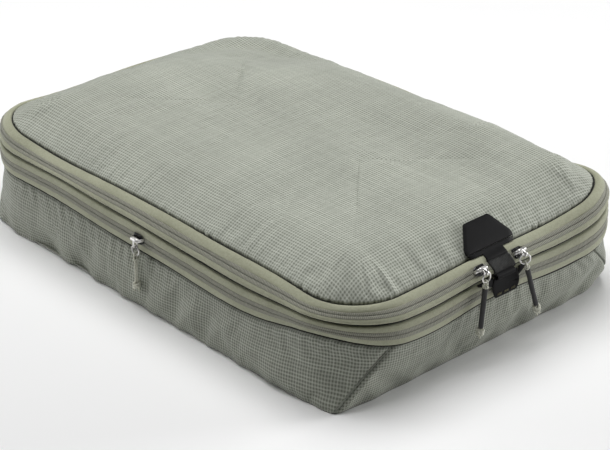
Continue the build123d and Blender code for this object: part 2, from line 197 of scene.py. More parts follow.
def ripstop(name, cell, line, crossing):
    """Light ripstop: dark little squares between pale raised threads, with uneven, slubby yarns."""
    n = Nodes(name)
    u, v, cloth = n.uv(1.0 / (RIPSTOP_PITCH * MM))
    lines = []
    for across, along, seed in ((u, v, 3.1), (v, u, 8.7)):
        shifted = n.math("ADD", across, 0.5)
        number = n.math("MULTIPLY", n.math("FLOOR", shifted), 1.37)
        centre = n.math("ABSOLUTE", n.math("SUBTRACT", n.math("FRACT", shifted), 0.5))
        yarn = n.new("ShaderNodeCombineXYZ", {0: n.math("MULTIPLY", along, 0.035), 1: number, 2: seed})
        slub = n.ramp(n.noise(yarn.outputs[0], 1.0, 3.0), 0.3, 0.72, 0.6, 1.0)
        lines.append(n.math("MULTIPLY", n.ramp(centre, 0.34, 0.12), slub))
    either = n.math("MAXIMUM", *lines)
    both = n.math("MULTIPLY", *lines)
    place = n.place()
    cloud = n.ramp(n.noise(place, 14.0, 4.0), 0.3, 0.7, 0.93, 1.04)
    fleck = n.ramp(n.noise(place, 420.0), 0.3, 0.7, -0.05, 0.05)
    tint = n.math("ADD", cloud, fleck)
    grey = n.new("ShaderNodeCombineColor", {0: tint, 1: tint, 2: tint}).outputs[0]
    colour = n.mix(both, n.mix(either, cell, line), crossing)
    # plain weave between the ripstop threads
    weave = n.new("ShaderNodeTexChecker", {"Vector": cloth, "Scale": 6.0}).outputs["Fac"]
    normal = n.bump(either, 0.00016, 0.9, n.bump(weave, 0.00003, 0.5))
    normal = n.bump(n.noise(place, 55.0, 3.0), 0.0006, 0.35, normal)
    rough = n.ramp(either, 0.0, 1.0, 0.78, 0.62)
    return n.finish(n.mix(1.0, colour, grey, "MULTIPLY"), rough, normal, sheen=0.12, specular=0.3)


def zip_tape(name, colour, dark):
    """Smooth woven tape with fine ribs along its length."""
    n = Nodes(name)
    u, v, cloth = n.uv(1000.0)
    rib = n.math("ABSOLUTE", n.math("SINE", n.math("MULTIPLY", v, pi / 0.62)))
    twill = n.math("SINE", n.math("MULTIPLY", n.math("ADD", u, v), 2 * pi / 0.8))
    place = n.place()
    cloud = n.ramp(n.noise(place, 22.0, 3.0), 0.3, 0.7, 0.0, 0.35)
    grain = n.ramp(n.noise(place, 600.0), 0.3, 0.7, 0.0, 0.3)
    shade = n.math("ADD", n.math("ADD", cloud, grain), n.math("MULTIPLY", rib, -0.18))
    normal = n.bump(twill, 0.00003, 0.5, n.bump(rib, 0.00008, 0.6))
    normal = n.bump(n.noise(place, 90.0, 3.0), 0.0005, 0.4, normal)
    return n.finish(n.mix(n.math("ADD", shade, 0.1), colour, dark), 0.72, normal, sheen=0.15, specular=0.35)


def zip_coil(name, colour, dark):
    """Back of a reverse coil: close ticks across the tape, where the coil is sewn underneath."""
    n = Nodes(name)
    u, v, cloth = n.uv(1000.0)
    slant = n.math("MULTIPLY", n.math("ADD", u, n.math("MULTIPLY", v, 0.3)), pi / 1.5)
    knit = n.ramp(n.math("ABSOLUTE", n.math("SINE", slant)), 0.1, 0.75)
    grain = n.ramp(n.noise(n.place(), 700.0), 0.3, 0.7, 0.0, 0.35)
    tone = n.mix(n.math("SUBTRACT", knit, grain), dark, colour)
    return n.finish(tone, 0.7, n.bump(knit, 0.00016, 0.8), sheen=0.1, specular=0.3)


def plain_cloth(name, colour, dark, pitch):
    """Woven binding tape or webbing."""
    n = Nodes(name)
    u, v, cloth = n.uv(1000.0 / pitch)
    weave = n.math("MULTIPLY", *[n.math("SINE", n.math("MULTIPLY", way, 2 * pi)) for way in (u, v)])
    grain = n.noise(n.place(), 300.0, 3.0)
    shade = n.ramp(n.math("ADD", n.math("MULTIPLY", weave, 0.25), grain), 0.2, 0.9)
    return n.finish(n.mix(shade, dark, colour), 0.8, n.bump(weave, 0.0001, 0.7), sheen=0.1, specular=0.3)


def tab_hide(name, colour, worn, shine, grain_scale=900.0):
    """Matt black coated sheet with a fine pebbled grain and slightly paler rubbed edges."""
    n = Nodes(name)
    place = n.place()
    pebble = n.new("ShaderNodeTexVoronoi", {"Vector": place, "Scale": grain_scale}, feature="SMOOTH_F1")
    cloud = n.noise(place, 160.0, 4.0)
    edge = n.new("ShaderNodeNewGeometry").outputs["Pointiness"]
    wear = n.math("ADD", n.ramp(edge, 0.52, 0.6, 0.0, 0.5), n.ramp(cloud, 0.45, 0.75, 0.0, 0.35))
    normal = n.bump(cloud, 0.00025, 0.35, n.bump(pebble.outputs["Distance"], 0.00005, 0.5))
    return n.finish(n.mix(wear, colour, worn), n.ramp(cloud, 0.3, 0.7, 0.5, 0.62), normal, specular=shine)


def metal(name, colour, dark, roughness):
    """Polished die-cast metal with faint handling marks."""
    n = Nodes(name)
    place = n.place()
    marks = n.noise(place, 900.0, 5.0, 0.65)
    tone = n.mix(n.ramp(n.noise(place, 260.0, 3.0), 0.35, 0.7), colour, dark)
    rough = n.math("ADD", n.ramp(marks, 0.4, 0.75, 0.0, 0.12), roughness)
    return n.finish(tone, rough, n.bump(marks, 0.00003, 0.35), metallic=1.0)


def gloss_black(name):
    """Black lacquered slider body, worn a little at its edges."""
    n = Nodes(name)
    marks = n.noise(n.place(), 700.0, 4.0)
    edge = n.ramp(n.new("ShaderNodeNewGeometry").outputs["Pointiness"], 0.53, 0.62)
    tone = n.mix(edge, (0.008, 0.008, 0.009), (0.06, 0.06, 0.065))
    return n.finish(tone, n.ramp(marks, 0.35, 0.7, 0.16, 0.34), n.bump(marks, 0.00004, 0.3), specular=0.6)


def braid(name, colour, dark, fleck):
    """Thin braided cord: crossing strands with a few bright flecks."""
    n = Nodes(name)
    place = n.place()
    cells = n.new("ShaderNodeTexVoronoi", {"Vector": place, "Scale": 1700.0}).outputs["Distance"]
    tone = n.mix(n.ramp(cells, 0.1, 0.75), colour, dark)
    tone = n.mix(n.ramp(n.noise(place, 1500.0), 0.6, 0.68), tone, fleck)
    return n.finish(tone, 0.65, n.bump(cells, 0.0002, 0.8), sheen=0.15, specular=0.35)


def floor_paint():
    n = Nodes("floor_paper")
    cloud = n.ramp(n.noise(n.place(), 1.5, 3.0), 0.3, 0.7)
    return n.finish(n.mix(cloud, (0.90, 0.90, 0.90), (0.92, 0.92, 0.92)), 0.9, specular=0.1)


def make_materials():
    return {
        "lid": ripstop("ripstop_lid", (0.222, 0.236, 0.194), (0.415, 0.434, 0.374), (0.52, 0.538, 0.472)),
        # The walls' ripstop is a darker copy of the lid's same fabric: painted shade on the walls, also used
        # for the base, dart welts and gusset.
        "wall": ripstop("ripstop_wall_painted_shade", (0.155, 0.166, 0.133), (0.342, 0.358, 0.302), (0.445, 0.462, 0.395)),
        "tape": zip_tape("woven_zip_tape", (0.378, 0.385, 0.278), (0.232, 0.238, 0.160)),
        "coil": zip_coil("reverse_coil", (0.30, 0.30, 0.245), (0.135, 0.137, 0.108)),
        # Near-black binding: real binding strips, their colour painted shade of the seam grooves they sit in.
        "binding": plain_cloth("binding_tape_painted_groove_shade", (0.022, 0.023, 0.018), (0.008, 0.008, 0.007), 0.9),
        "tab": tab_hide("black_coated_tab", (0.0075, 0.0075, 0.0078), (0.013, 0.013, 0.0135), 0.1),
        "sleeve": tab_hide("rubber_sleeve", (0.026, 0.026, 0.0265), (0.055, 0.055, 0.056), 0.4, 1400.0),
        "webbing": plain_cloth("black_webbing", (0.035, 0.036, 0.034), (0.006, 0.006, 0.006), 1.5),
        "metal": metal("nickel_plate", (0.80, 0.79, 0.77), (0.58, 0.57, 0.56), 0.34),
        "slider": gloss_black("black_lacquer"),
        "cord": braid("sage_braid", (0.82, 0.82, 0.72), (0.42, 0.425, 0.335), (0.92, 0.92, 0.88)),
        "thread": braid("black_thread", (0.03, 0.03, 0.03), (0.01, 0.01, 0.01), (0.05, 0.05, 0.05)),
        "tack": braid("olive_thread", (0.17, 0.16, 0.08), (0.06, 0.055, 0.03), (0.25, 0.24, 0.13)),
        "floor": floor_paint(),
    }


# ---- mesh helpers -------------------------------------------------------------------------
def smooth_line(points, steps):
    """Rounded line through given points: each span of a Catmull-Rom curve cut in steps."""
    p = np.array(points, float)
    p = np.vstack([2 * p[0] - p[1], p, 2 * p[-1] - p[-2]])
    t = np.linspace(0, 1, steps, endpoint=False)[:, None]
    out = []
    for i in range(1, len(p) - 2):
        a, b, c, d = p[i - 1], p[i], p[i + 1], p[i + 2]
        out.append(0.5 * (2 * b + (c - a) * t + (2 * a - 5 * b + 4 * c - d) * t ** 2
                          + (3 * b - a - 3 * c + d) * t ** 3))
    return np.vstack(out + [p[-2][None]])


def rounded_outline(half_x, half_y, radius):
    """Points and outward directions of a rounded rectangle, anticlockwise from the rear edge's middle."""
    radius = max(min(radius, half_x, half_y), 1e-6)
    sx, sy = half_x - radius, half_y - radius
    points, normals = [], []

    def run(start, end, normal, count):
        for t in np.arange(count) / count:
            points.append(start + (end - start) * t)
            normals.append(normal)

    def arc(centre, from_angle, count):
        for t in np.arange(count) / count:
            angle = from_angle + t * pi / 2
            direction = np.array((cos(angle), sin(angle)))
            points.append(np.array(centre) + radius * direction)
            normals.append(direction)

    half_short = SHORT_COLUMNS // 2
    run(np.array((0, half_y)), np.array((-sx, half_y)), np.array((0, 1.0)), half_short)
    arc((-sx, sy), pi / 2, ARC_COLUMNS)
    run(np.array((-half_x, sy)), np.array((-half_x, -sy)), np.array((-1.0, 0)), LONG_COLUMNS)
    arc((-sx, -sy), pi, ARC_COLUMNS)
    run(np.array((-sx, -half_y)), np.array((sx, -half_y)), np.array((0, -1.0)), SHORT_COLUMNS)
    arc((sx, -sy), 1.5 * pi, ARC_COLUMNS)
    run(np.array((half_x, -sy)), np.array((half_x, sy)), np.array((1.0, 0)), LONG_COLUMNS)
    arc((sx, sy), 0.0, ARC_COLUMNS)
    run(np.array((sx, half_y)), np.array((0, half_y)), np.array((0, 1.0)), half_short)
    return np.array(points), np.array(normals)


def band_outline(outset):
    radius = max(CORNER_RADIUS + outset, LEAST_RADIUS)
    return rounded_outline(HALF_X + outset, HALF_Y + outset, radius)


OUTLINE, OUTWARD = band_outline(0.0)
STEPS = np.linalg.norm(np.roll(OUTLINE, -1, axis=0) - OUTLINE, axis=1)
ALONG = np.concatenate([[0.0], np.cumsum(STEPS)[:-1]])      # arc length at each column
PERIMETER = STEPS.sum()


def ripple(along, wavelength, seed, spread=0.45):
    """Smooth random wave of unit size round the outline, near one wavelength."""
    rng = np.random.default_rng(seed)
    middle = PERIMETER / wavelength
    total = np.zeros_like(along)
    for count in rng.uniform(middle * (1 - spread), middle * (1 + spread), 7):
        total = total + np.sin(2 * pi * round(count) * along / PERIMETER + rng.uniform(0, 2 * pi))
    return total / 2.2


def gust(along, seed, wavelength=170.0):
    """Slow envelope from 0 to 1, that lets ripples come and go."""
    return np.clip(0.5 + 0.5 * ripple(along, wavelength, seed, 0.6), 0.0, 1.0)


def in_scene(name, data):
    piece = bpy.data.objects.new(name, data)
    bpy.context.scene.collection.objects.link(piece)
    return piece


def belongs(piece, body, slot, *nodes):
    """The piece moves with a body and stands for CAD nodes, which it hides. slot is not used."""
    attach(piece, body)
    if nodes:
        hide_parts(*nodes)


def grid_faces(rows, width, around=True, ring=False):
    """Quads between a grid's points; around closes each row, ring joins the last row to the first."""
    faces = []
    for i in range(rows if ring else rows - 1):
        j = (i + 1) % rows
        for k in range(width if around else width - 1):
            m = (k + 1) % width
            faces.append((i * width + k, i * width + m, j * width + m, j * width + k))
    return faces


def new_piece(name, vertices, faces, material, uvs=None):
    """Mesh object from points in millimetres; uvs are per vertex, in millimetres of cloth."""
    mesh = bpy.data.meshes.new(name)
    mesh.from_pydata([tuple(v) for v in np.asarray(vertices) * MM], [], [tuple(f) for f in faces])
    if uvs is not None:
        layer = mesh.uv_layers.new(name="cloth")
        order = np.zeros(len(mesh.loops), dtype=np.int32)
        mesh.loops.foreach_get("vertex_index", order)
        layer.data.foreach_set("uv", (np.asarray(uvs)[order] * MM).astype(np.float32).ravel())
    mesh.validate()
    mesh.shade_smooth()
    mesh.materials.append(material)
    return in_scene(name, mesh)


def face_outwards(piece):
    """Makes the faces of a closed piece look outwards."""
    bm = bmesh.new()
    bm.from_mesh(piece.data)
    bmesh.ops.recalc_face_normals(bm, faces=bm.faces)
    bm.to_mesh(piece.data)
    bm.free()
    return piece


def apply_modifiers(piece):
    graph = bpy.context.evaluated_depsgraph_get()
    graph.update()
    made = bpy.data.meshes.new_from_object(piece.evaluated_get(graph))
    old = piece.data
    piece.modifiers.clear()
    piece.data = made
    made.name = piece.name
    bpy.data.meshes.remove(old)
    return piece


def thicken(piece, thickness):
    solid = piece.modifiers.new("cloth thickness", "SOLIDIFY")
    solid.thickness, solid.offset = thickness * MM, -1.0
    return apply_modifiers(piece)


def ring_sheet(name, grid, material, uvs):
    """Sheet of rings that shrink to a line in the middle, where the innermost ring closes."""
    count, width = grid.shape[:2]
    piece = new_piece(name, grid.reshape(-1, 3), grid_faces(count, width), material, uvs)
    bm = bmesh.new()
    bm.from_mesh(piece.data)
    inner = [v for v in bm.verts if v.index >= (count - 1) * width]
    bmesh.ops.remove_doubles(bm, verts=inner, dist=0.0002)
    bm.to_mesh(piece.data)
    bm.free()
    return face_outwards(piece)


def swept_strip(name, section, thickness, material, wave=None, columns=None, across=0.0):
    """Closed strip that follows the band outline. section is (outset, height) along its outside.

    columns are those of the outline for a strip that doesn't go all the way round. wave(along) gives
    an outward movement in millimetres, and across is where the cloth coordinates start.
    """
    line = np.array(section, float)
    along_section = np.gradient(line, axis=0)
    along_section /= np.linalg.norm(along_section, axis=1)[:, None]
    inward = np.column_stack([-along_section[:, 1], along_section[:, 0]])
    loop = np.vstack([line, (line + inward * thickness)[::-1]])
    length = np.concatenate([[0], np.cumsum(np.linalg.norm(np.diff(line, axis=0), axis=1))])
    loop_v = np.concatenate([length, length[::-1]]) + across
    closed = columns is None
    index = np.arange(len(OUTLINE)) if closed else columns
    lift = wave(ALONG[index])[:, None] if wave else 0.0
    rows = []
    for outset, height in loop:
        points, normals = band_outline(outset)
        points = points[index] + normals[index] * lift
        rows.append(np.column_stack([points, np.full(len(points), height)]))
    grid = sag(np.array(rows))
    count, width = grid.shape[:2]
    uvs = np.stack([np.broadcast_to(ALONG[index], (count, width)),
                    np.broadcast_to(loop_v[:, None], (count, width))], axis=-1).reshape(-1, 2)
    faces = grid_faces(count, width, closed, True)
    if not closed:
        faces.append([i * width for i in range(count)])
        faces.append([i * width + width - 1 for i in range(count)][::-1])
    return face_outwards(new_piece(name, grid.reshape(-1, 3), faces, material, uvs))


def tube_along(name, path, radii, sides, material, flat=1.0, turn_hint=(1.0, 0.0, 0.0)):
    """Closed round bar along a line of points; radii is one per point; flat squeezes it sideways."""
    path = np.array(path, float)
    tangents = np.gradient(path, axis=0)
    tangents /= np.linalg.norm(tangents, axis=1)[:, None]
    vertices = []
    side = np.array(turn_hint, float)
    for point, tangent, radius in zip(path, tangents, radii):
        side = side - tangent * (side @ tangent)
        side /= np.linalg.norm(side)
        other = np.cross(tangent, side)
        for k in range(sides):
            angle = 2 * pi * k / sides
            vertices.append(point + radius * (cos(angle) * side + sin(angle) * other * flat))
    faces = grid_faces(len(path), sides)
    faces.append(list(range(sides))[::-1])
    faces.append([(len(path) - 1) * sides + k for k in range(sides)])
    return new_piece(name, vertices, faces, material)


def smoothstep(value, low, high):
    t = np.clip((value - low) / (high - low), 0.0, 1.0)
    return t * t * (3 - 2 * t)


def sag(points):
    """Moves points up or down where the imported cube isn't square; nothing moves beside the tabs."""
    moved = np.array(points, float)
    x, y, z = moved[..., 0], moved[..., 1], moved[..., 2]
    rise = np.zeros_like(z)
    for spot_x, spot_y, reach, low, middle, high in SAG_SPOTS:
        near = np.exp(-((x - spot_x) ** 2 + (y - spot_y) ** 2) / (2.0 * reach ** 2))
        rise += near * np.interp(z, SAG_HEIGHTS, (0.0, low, middle, high, 0.0))
    tabs = np.exp(-(x / 34.0) ** 2) * (y < 0)
    moved[..., 2] += rise * (1.0 - tabs)
    share = smoothstep(z, 79.5, 85.0) * (1.0 - smoothstep(z, 90.0, 104.0))
    for spot_x, spot_y, reach in SEAM_PULLS:
        pull = reach * share * np.exp(-((x - spot_x) ** 2 + (y - spot_y) ** 2) / (2.0 * 32.0 ** 2))
        moved[..., 0] += 0.707 * np.sign(spot_x) * pull
        moved[..., 1] += 0.707 * np.sign(spot_y) * pull
    return moved


def unevenness(x, y, wavelength, seed, count=9):
    """Soft random hills and hollows of unit size, near one wavelength."""
    rng = np.random.default_rng(seed)
    total = 0.0
    for turn, size, start in zip(rng.uniform(0, pi, count), rng.uniform(0.6, 1.6, count),
                                 rng.uniform(0, 2 * pi, count)):
        total = total + np.sin(2 * pi * (x * cos(turn) + y * sin(turn)) / (wavelength * size) + start)
    return total / np.sqrt(count)


def settle(piece, held, pressure, spare, steps, cap):
    """Lets a sheet find its own small folds: cloth with a little spare length, held along its edges.

    held are the vertices that stay put. cap is the furthest, in millimetres, that a point may go.
    """
    rest = np.array([v.co for v in piece.data.vertices])
    group = piece.vertex_groups.new(name="held")
    group.add([int(i) for i in held], 1.0, "REPLACE")
    cloth = piece.modifiers.new("cloth", "CLOTH")
    stiffness = {"tension_stiffness": 12.0, "compression_stiffness": 12.0, "shear_stiffness": 4.0,
                 "bending_stiffness": 0.4}
    for key, value in {"vertex_group_mass": "held", "quality": 6, "mass": 0.12, "use_pressure": True,
                       "uniform_pressure_force": pressure, "shrink_min": -spare, **stiffness}.items():
        setattr(cloth.settings, key, value)
    cloth.settings.effector_weights.gravity = 0.0
    cloth.collision_settings.use_collision = False
    cloth.collision_settings.use_self_collision = False
    cloth.point_cache.frame_start, cloth.point_cache.frame_end = 1, steps
    scene = bpy.context.scene
    for step in range(1, steps + 1):
        scene.frame_set(step)
    graph = bpy.context.evaluated_depsgraph_get()
    made = bpy.data.meshes.new_from_object(piece.evaluated_get(graph))
    move = np.array([v.co for v in made.vertices]) - rest
    bpy.data.meshes.remove(made)
    size = np.linalg.norm(move, axis=1, keepdims=True)
    limit = cap * MM
    move *= np.tanh(size / limit) * limit / np.maximum(size, 1e-9)
    piece.modifiers.remove(cloth)
    piece.vertex_groups.remove(group)
    piece.data.vertices.foreach_set("co", (rest + move).astype(np.float32).ravel())
    piece.data.update()
    scene.frame_set(1)


# ---- lid ----------------------------------------------------------------------------------
def lid_rows():
    """(distance in from the outline) of each row, closer together near the seam."""
    close = np.linspace(0.0, 1.0, 19) ** 1.3 * 30.0 + 14.4
    far = np.linspace(close[-1], HALF_X, 39)[1:]
    return np.concatenate([close, far])


def make_lid(materials):
    front, side, rear = (smooth_line(profile, 8) for profile in (LID_FRONT, LID_SIDE, LID_REAR))
    gather = 0.4 * ripple(ALONG, 7.0, 3) * (0.35 + 0.65 * gust(ALONG, 4))
    rows = []
    for outset, height in [(-15.4, 83.4), (-14.8, 84.0), (-14.4, 84.8)]:
        points, normals = band_outline(outset)
        rows.append(np.column_stack([points + normals * gather[:, None], np.full(len(points), height)]))
    for depth in lid_rows():
        radius = max(CORNER_RADIUS - depth, LEAST_RADIUS * (1 - depth / HALF_X))
        points, normals = rounded_outline(HALF_X - depth, HALF_Y - depth, radius)
        x, y = points[:, 0], points[:, 1]
        tab = smoothstep(-y, 60.0, 190.0) * (1 - smoothstep(np.abs(x), 34.0, 100.0) * 0.75)
        hinge = smoothstep(y, 60.0, 205.0)
        z = (np.interp(depth, *front.T) * tab + np.interp(depth, *rear.T) * hinge
             + np.interp(depth, *side.T) * (1 - tab - hinge))
        right, back = smoothstep(x, 30.0, 125.0), smoothstep(y, 90.0, 195.0)
        crown = np.interp(y, *np.transpose(RIGHT_CROWN)) * right
        crown = crown + np.interp(x, *np.transpose(REAR_CROWN)) * back
        z = z + crown * smoothstep(depth, 14.0, 46.0) / np.maximum(1.0, right + back)
        z = z + 0.8 * unevenness(x, y, 120.0, 11) * smoothstep(depth, 22.0, 70.0)
        # puckers that run in from the seam
        fade = np.exp(-(depth - 14.2) / 11.0) * smoothstep(depth, 13.8, 19.0)
        pucker = ripple(ALONG, 11.0, 5) * gust(ALONG, 6) + 0.5 * ripple(ALONG, 27.0, 7)
        z = z + 0.75 * fade * pucker * (1.0 - 0.75 * smoothstep(y, 120.0, 190.0))
        points = points + normals * (gather * max(0.0, 1 - (depth - 14.2) / 3.0))[:, None]
        rows.append(np.column_stack([points, z]))
    grid = np.array(rows)
    uvs = np.column_stack([cloth_run(grid[..., 0], HALF_X, side).ravel(),
                           cloth_run(grid[..., 1], HALF_Y, side).ravel()])
    lid = ring_sheet("lid_shell", sag(grid), materials["lid"], uvs)
    settle(lid, range(5 * grid.shape[1]), LID_PRESSURE, 0.006, 22, 2.2)
    thicken(lid, FABRIC)
    belongs(lid, "lid", "ripstop", "lid_panel")


def cloth_run(position, half, profile):
    """Length of cloth from the dome's middle line out to each position across it."""
    fine = np.linspace(0.0, half, 320)
    height = np.interp(half - fine, *profile.T)
    run = np.concatenate([[0.0], np.cumsum(np.hypot(np.diff(fine), np.diff(height)))])
    return np.sign(position) * np.interp(np.abs(position), fine, run)


# ---- walls and base -----------------------------------------------------------------------
def split_points():
    """Columns of the band outline where the four darts reach the lower zip band."""
    columns = []
    for sx, sy in ((-1, 1), (-1, -1), (1, -1), (1, 1)):
        gap = np.hypot(OUTLINE[:, 0] - sx * DART_TOP_X, OUTLINE[:, 1] - sy * (HALF_Y - 1.0))
        columns.append(int(gap.argmin()))
    return columns


def foot_line(start, end, count):
    """Base outline between two dart feet, evenly cut; start and end are corner signs."""
    points, _ = rounded_outline(BASE_HALF_X, BASE_HALF_Y, BASE_RADIUS)
    a, b = (int(np.hypot(points[:, 0] - sx * DART_FOOT[0], points[:, 1] - sy * DART_FOOT[1]).argmin())
            for sx, sy in (start, end))
    line = points[a:b + 1] if b > a else np.vstack([points[a:], points[:b + 1]])
    run = np.concatenate([[0], np.cumsum(np.linalg.norm(np.diff(line, axis=0), axis=1))])
    even = np.linspace(0, run[-1], count)
    return np.column_stack([np.interp(even, run, line[:, 0]), np.interp(even, run, line[:, 1])])


# Dents in the side fabric: panel, x, y, height, reach along, reach up, and depth (minus for a ridge).
WALL_DENTS = [
    ("left_wall", -155, 130, 7, 14, 12, 5.5), ("left_wall", -155, 108, 20, 8, 20, -2.0),
    ("left_wall", -155, 90, 8, 8, 15, 5.0), ("left_wall", -155, 60, 14, 16, 12, 1.6),
    ("left_wall", -155, 5, 22, 6, 16, 1.5), ("left_wall", -155, -8, 20, 5, 14, -1.2),
    ("left_wall", -155, -150, 10, 22, 9, -2.2), ("left_wall", -155, -165, 30, 30, 14, 1.6),
    ("front_wall", -40, -214, 20, 12, 16, 1.8), ("front_wall", -12, -214, 24, 9, 14, -1.4),
    ("front_wall", 108, -214, 18, 14, 10, 3.2), ("front_wall", 84, -214, 30, 16, 8, -1.6),
    ("front_wall", 30, -214, 10, 20, 8, 1.6)]


def wall_grid(name, start, end, top_columns, fullness, seed):
    """Points of one side panel: rows from the top seam down to the base, columns along the cube."""
    top, top_out = OUTLINE[top_columns], OUTWARD[top_columns]
    along = ALONG[top_columns]
    foot = foot_line(start, end, len(top_columns))
    tangent = np.gradient(foot, axis=0)
    tangent /= np.linalg.norm(tangent, axis=1)[:, None]
    foot_out = np.column_stack([tangent[:, 1], -tangent[:, 0]])
    foot_out *= np.sign((foot_out * foot).sum(axis=1))[:, None]
    from_end = np.minimum(np.arange(len(along)), np.arange(len(along))[::-1]) * PERIMETER / len(OUTLINE)
    hold = 1 - np.exp(-(from_end / 9.0) ** 2)
    head = top - top_out * WALL_INSET
    rows = []
    for share in np.linspace(0, 1, WALL_ROWS + 1) ** 0.9:
        height = (WALL_TOP - 0.3) * (1 - share)
        line = head + (foot - head) * share
        out = top_out + (foot_out - top_out) * share
        out /= np.linalg.norm(out, axis=1)[:, None]
        swell = fullness * np.sin(pi * min(share * 0.93 + 0.03, 1.0)) ** 0.9
        swell = swell * (0.8 + 0.2 * ripple(along, 210.0, seed))
        # tuck under the band at the top, roll under to the base at the foot
        top_tuck = -2.2 * np.exp(-((share * WALL_TOP) / 1.3) ** 2)
        down = max(0.0, 1 - height / FOOT_ROLL)
        foot_roll = -0.2 * FOOT_ROLL * (1 - np.sqrt(1 - down ** 2))
        # puckers below the band and slack folds lower down
        fold = 0.55 * ripple(along, 14.0, seed + 1) * gust(along, seed + 2)
        fold = fold * np.exp(-((share - 0.10) / 0.16) ** 2)
        slack = 1.1 * ripple(along + 26 * share, 46.0, seed + 3) * gust(along, seed + 4)
        slack = slack * np.exp(-((share - 0.55) / 0.3) ** 2)
        slack = slack + 0.5 * np.exp(-((share - 0.9) / 0.12) ** 2) * ripple(along, 30.0, seed + 5)
        seam = -1.3 * np.exp(-(from_end / 2.4) ** 2)
        move = swell * (0.35 + 0.65 * hold) + (fold + slack) * hold + top_tuck + foot_roll + seam
        line = line + out * move[:, None]
        for panel, x, y, up, along_reach, up_reach, depth in WALL_DENTS:
            if panel == name:
                near = np.exp(-((line[:, 0] - x) ** 2 + (line[:, 1] - y) ** 2) / (2.0 * along_reach ** 2))
                line = line - out * (depth * near * np.exp(-((height - up) / up_reach) ** 2))[:, None]
        rows.append(np.column_stack([line, np.full(len(along), height)]))
    grid = np.array(rows)
    lift_corner(grid)
    return sag(grid)


def lift_corner(grid):
    """The foot of the front right corner turns up off the ground, and the others do a little."""
    for sx, sy, lift, pull in ((1, -1, 7.0, 8.5), (-1, -1, 0.0, 2.6), (1, 1, 4.0, 5.0), (-1, 1, 1.5, 5.0)):
        far = np.hypot(grid[..., 0] - sx * BASE_HALF_X, grid[..., 1] - sy * BASE_HALF_Y)
        near = np.exp(-(far / 26.0) ** 2) * np.clip(1 - grid[..., 2] / 30.0, 0, 1)
        grid[..., 2] += lift * near
        grid[..., 0] -= sx * pull * near
        grid[..., 1] -= sy * pull * near


def make_walls(materials):
    rear_left, front_left, front_right, rear_right = split_points()
    total = len(OUTLINE)
    # columns, corner where it starts and ends, fullness, random seed, flat cut in metres and its area
    long_cut, short_cut = ((0.056, 0.476), 0.0245), ((0.055, 0.314), 0.0150)
    spans = {
        "left_wall": (np.arange(rear_left, front_left + 1), (-1, 1), (-1, -1), 3.4, 20, long_cut),
        "front_wall": (np.arange(front_left, front_right + 1), (-1, -1), (1, -1), 2.4, 40, short_cut),
        "right_wall": (np.arange(front_right, rear_right + 1), (1, -1), (1, 1), 3.4, 60, long_cut),
        "rear_wall": (np.arange(rear_right, rear_left + total + 1) % total, (1, 1), (-1, 1), 2.4, 80,
                      short_cut),
    }
    grids = {}
    for name, (columns, start, end, fullness, seed, (flat, area)) in spans.items():
        grid = wall_grid(name, start, end, columns, fullness, seed)
        grids[name] = grid
        count, width = grid.shape[:2]
        middle = width // 2
        across = np.zeros((count, width))
        across[:, 1:] = np.cumsum(np.linalg.norm(np.diff(grid, axis=1), axis=2), axis=1)
        across -= across[:, middle][:, None]
        down = np.zeros(count)
        down[1:] = np.cumsum(np.linalg.norm(np.diff(grid[:, middle], axis=0), axis=1))
        uvs = np.stack([across, down[:, None] + 0 * across], axis=-1).reshape(-1, 2)
        faces = grid_faces(count, width, False)
        # Side panels take the darker ripstop copy: painted shade.
        piece = face_outwards(new_piece(name + "_panel", grid.reshape(-1, 3), faces, materials["wall"], uvs))
        flip_if_inward(piece)
        edge = [i * width + k for i in range(count) for k in range(width)
                if i in (0, 1, count - 1) or k in (0, 1, width - 2, width - 1)]
        settle(piece, edge, WALL_PRESSURE, 0.008, 18, 1.8)
        thicken(piece, FABRIC)
        belongs(piece, "lower_shell", "ripstop", name)
    make_dart_seams(grids, materials)


def flip_if_inward(piece):
    """Turns an open sheet's faces so that they look away from the cube's middle."""
    mesh = piece.data
    total = 0.0
    for face in mesh.polygons:
        total += face.normal.x * face.center.x + face.normal.y * face.center.y
    if total < 0:
        mesh.flip_normals()


def make_dart_seams(grids, materials):
    """Raised welt over each corner dart, from the zip band down to the base."""
    ends = {"rear_left": ("left_wall", 0), "front_left": ("left_wall", -1),
            "front_right": ("right_wall", 0), "rear_right": ("right_wall", -1)}
    for name, (panel, column) in ends.items():
        edge = grids[panel][:, column]
        beside = grids[panel][:, 3 if column == 0 else -4]
        out = edge * (1, 1, 0)
        out /= np.linalg.norm(out, axis=1)[:, None]
        path = edge * 0.72 + beside * 0.28 + out * 0.35
        radii = 0.75 + 0.12 * np.sin(np.linspace(0, 1, len(path)) * 40.0)
        welt = tube_along("dart_welt_" + name, path[1:-1], radii[1:-1], 10, materials["wall"], 0.8)
        welt.data.uv_layers.new(name="cloth")
        belongs(face_outwards(welt), "lower_shell", "ripstop")


def make_base(materials):
    rows = []
    for depth in [0.0, 2.0, 4.0, 7.0, 12.0, 20.0, *np.linspace(32.0, BASE_INSIDE[0] - 0.1, 12)]:
        points, _ = rounded_outline(BASE_INSIDE[0] - depth, BASE_INSIDE[1] - depth, max(8.0 - depth, 0.01))
        slack = 0.35 * np.sin(points[:, 0] / 23.0) * np.sin(points[:, 1] / 31.0 + 0.6)
        z = 0.75 + 1.6 * np.exp(-depth / 3.0) + np.clip(slack, 0, None) * min(1.0, depth / 20.0)
        rows.append(np.column_stack([points, z]))
    grid = np.array(rows)
    lift_corner(grid)
    base = ring_sheet("base_sheet", grid, materials["wall"], grid.reshape(-1, 3)[:, :2])
    thicken(base, FABRIC)
    belongs(base, "lower_shell", "ripstop", "base_panel", "base_seam_binding")


# ---- zip bands ----------------------------------------------------------------------------
def tape_wave(seed):
    """Slow and quick unevenness of a sewn tape, as an outward movement in millimetres."""
    def wave(along):
        slow = 0.6 * ripple(along, 120.0, seed)
        quick = 0.25 * ripple(along, 22.0, seed + 1) * gust(along, seed + 2)
        return 0.35 * (slow + quick)
    return wave


